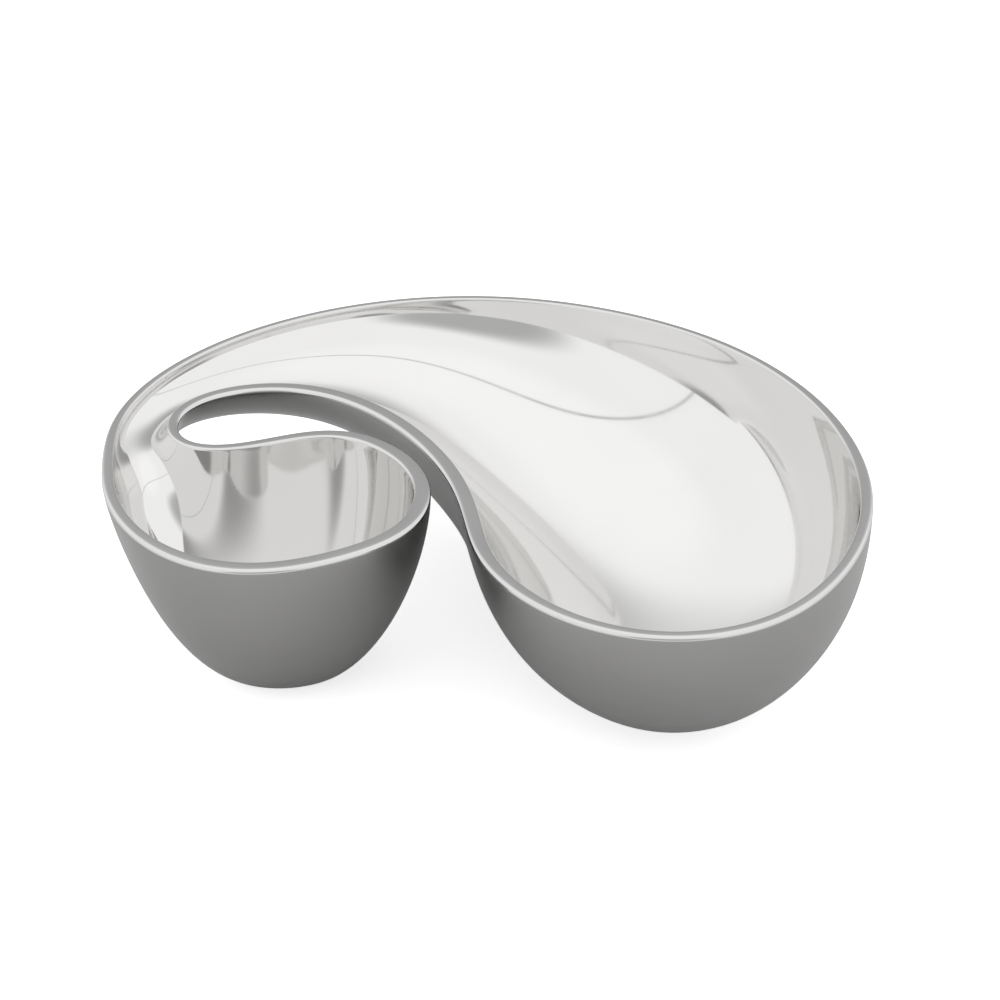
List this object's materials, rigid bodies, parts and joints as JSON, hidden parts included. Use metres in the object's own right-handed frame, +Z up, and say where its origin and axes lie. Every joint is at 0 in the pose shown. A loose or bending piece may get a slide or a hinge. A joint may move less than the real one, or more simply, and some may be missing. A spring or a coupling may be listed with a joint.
{
  "type": "chip and dip server",
  "caption": "One-piece cast metal serving dish: a small dip bowl curls over a raised neck into a large chip bowl, with an open teardrop finger gap between them.",
  "frame": {"origin": "on the table plane under the middle of the outline, seen from above", "axes": "+Z up out of the bowls, +X from the dip bowl towards the chip bowl, +Y towards the back, where the channel runs"},
  "size_m": [0.3662, 0.3221, 0.1],
  "materials": {
    "cast_metal": "mirror polished inside and along the rim, satin polished outside"
  },
  "bodies": {
    "root": {"cast_server": "cast_metal"}
  },
  "joints": []
}
